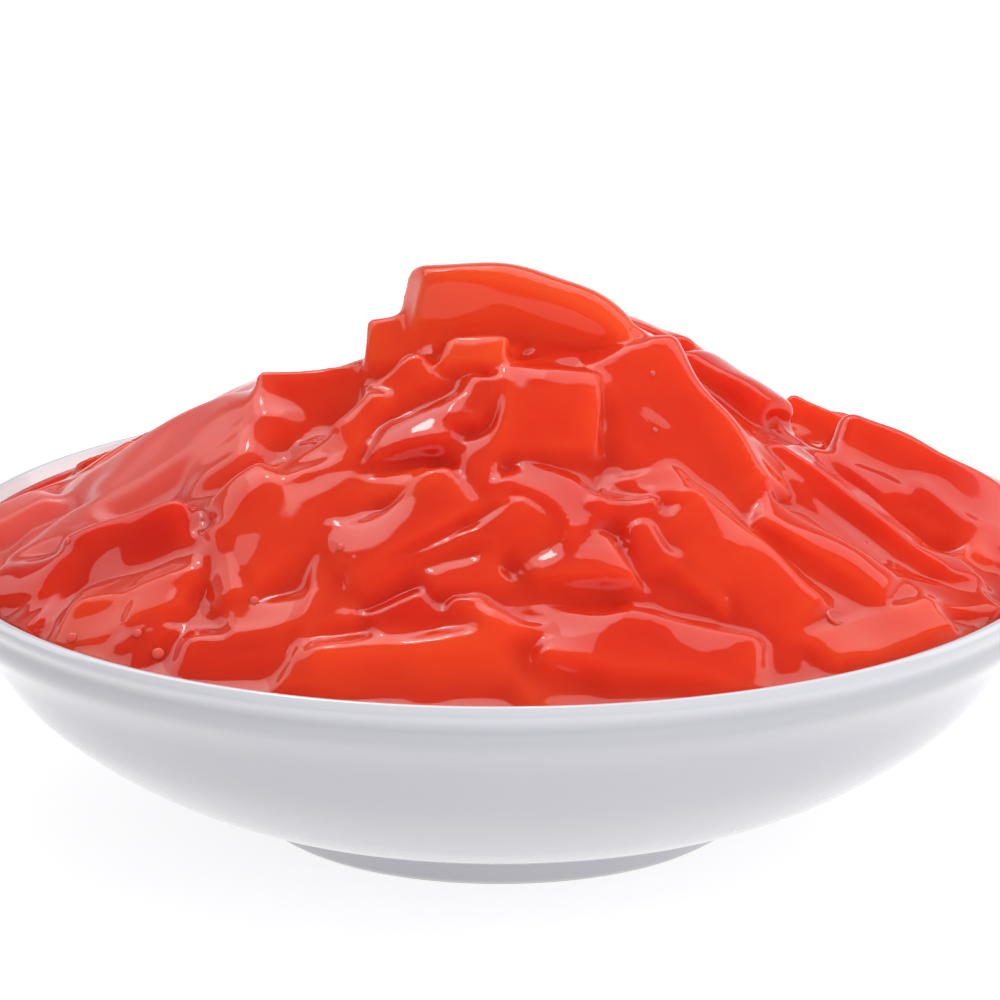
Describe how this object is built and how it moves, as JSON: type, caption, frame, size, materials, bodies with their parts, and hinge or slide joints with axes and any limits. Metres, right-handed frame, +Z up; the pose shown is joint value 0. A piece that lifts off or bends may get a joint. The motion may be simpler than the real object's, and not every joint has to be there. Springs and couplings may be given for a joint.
{
  "type": "dish of cut jelly strips in syrup",
  "caption": "Heap of glossy red cut jelly strips standing in syrup in a shallow round glazed dish with a rolled lip and a foot ring.",
  "frame": {"origin": "middle of the foot ring's flat bottom, on the table", "axes": "+Z up through the middle of the dish, +X to the right and -Y to the front of the heap as shown"},
  "size_m": [0.12, 0.12, 0.0595],
  "materials": {
    "white_glaze": "gloss",
    "syrup": "wet gloss",
    "red_jelly": "wet gloss, translucent"
  },
  "bodies": {
    "root": {"dish": "white_glaze", "syrup": "syrup", "jelly_heap": "red_jelly"}
  },
  "joints": []
}
